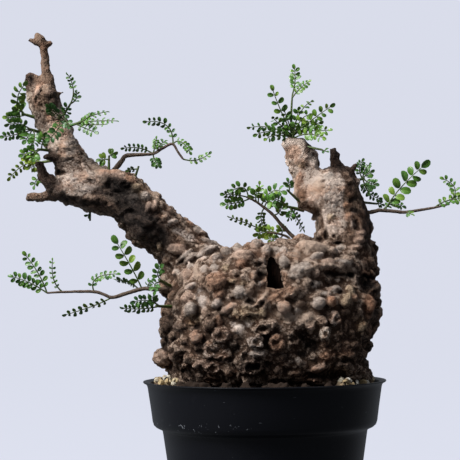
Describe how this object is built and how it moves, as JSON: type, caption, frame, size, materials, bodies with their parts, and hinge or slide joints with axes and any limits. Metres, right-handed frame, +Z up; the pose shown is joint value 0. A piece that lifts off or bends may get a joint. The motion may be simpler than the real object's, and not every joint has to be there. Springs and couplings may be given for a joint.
{
  "type": "potted bonsai plant",
  "caption": "Bonsai tree with a knobbly swollen trunk, two thick arms and small feathery leaves, growing in a black plastic nursery pot.",
  "frame": {"origin": "centre of the pot's underside", "axes": "+Z up, -Y towards the viewer of the picture, +X to the right in the picture"},
  "size_m": [0.2356, 0.12, 0.2739],
  "materials": {
    "pot_plastic": "satin black, slightly scuffed",
    "soil_grit": "coarse mixed mineral grit",
    "bark": "rough grey-tan bark with dark creases",
    "foliage": "smooth waxy leaf"
  },
  "bodies": {
    "root": {"pot": "pot_plastic", "soil": "soil_grit", "trunk": "bark", "spray_crown_left_top": "foliage", "spray_crown_left_middle": "foliage", "spray_crown_left_low": "foliage", "spray_crown_left_yellow": "foliage", "spray_arm_end": "foliage", "spray_crown_right": "foliage", "spray_crown_right_up": "foliage", "spray_crown_front": "foliage", "spray_arm_top": "foliage", "spray_brown_twig": "foliage", "spray_arm_leaf": "foliage", "spray_arm_under": "foliage", "spray_lower_left": "foliage", "spray_caudex_left_low": "foliage", "spray_caudex_left_high": "foliage", "spray_middle": "foliage", "spray_caudex_top": "foliage", "spray_arm_right_inner": "foliage", "spray_arm_right_side": "foliage", "spray_rosette": "foliage", "spray_right_back": "foliage", "spray_right_small": "foliage", "spray_right_long": "foliage", "spray_right_notch": "foliage"}
  },
  "joints": []
}
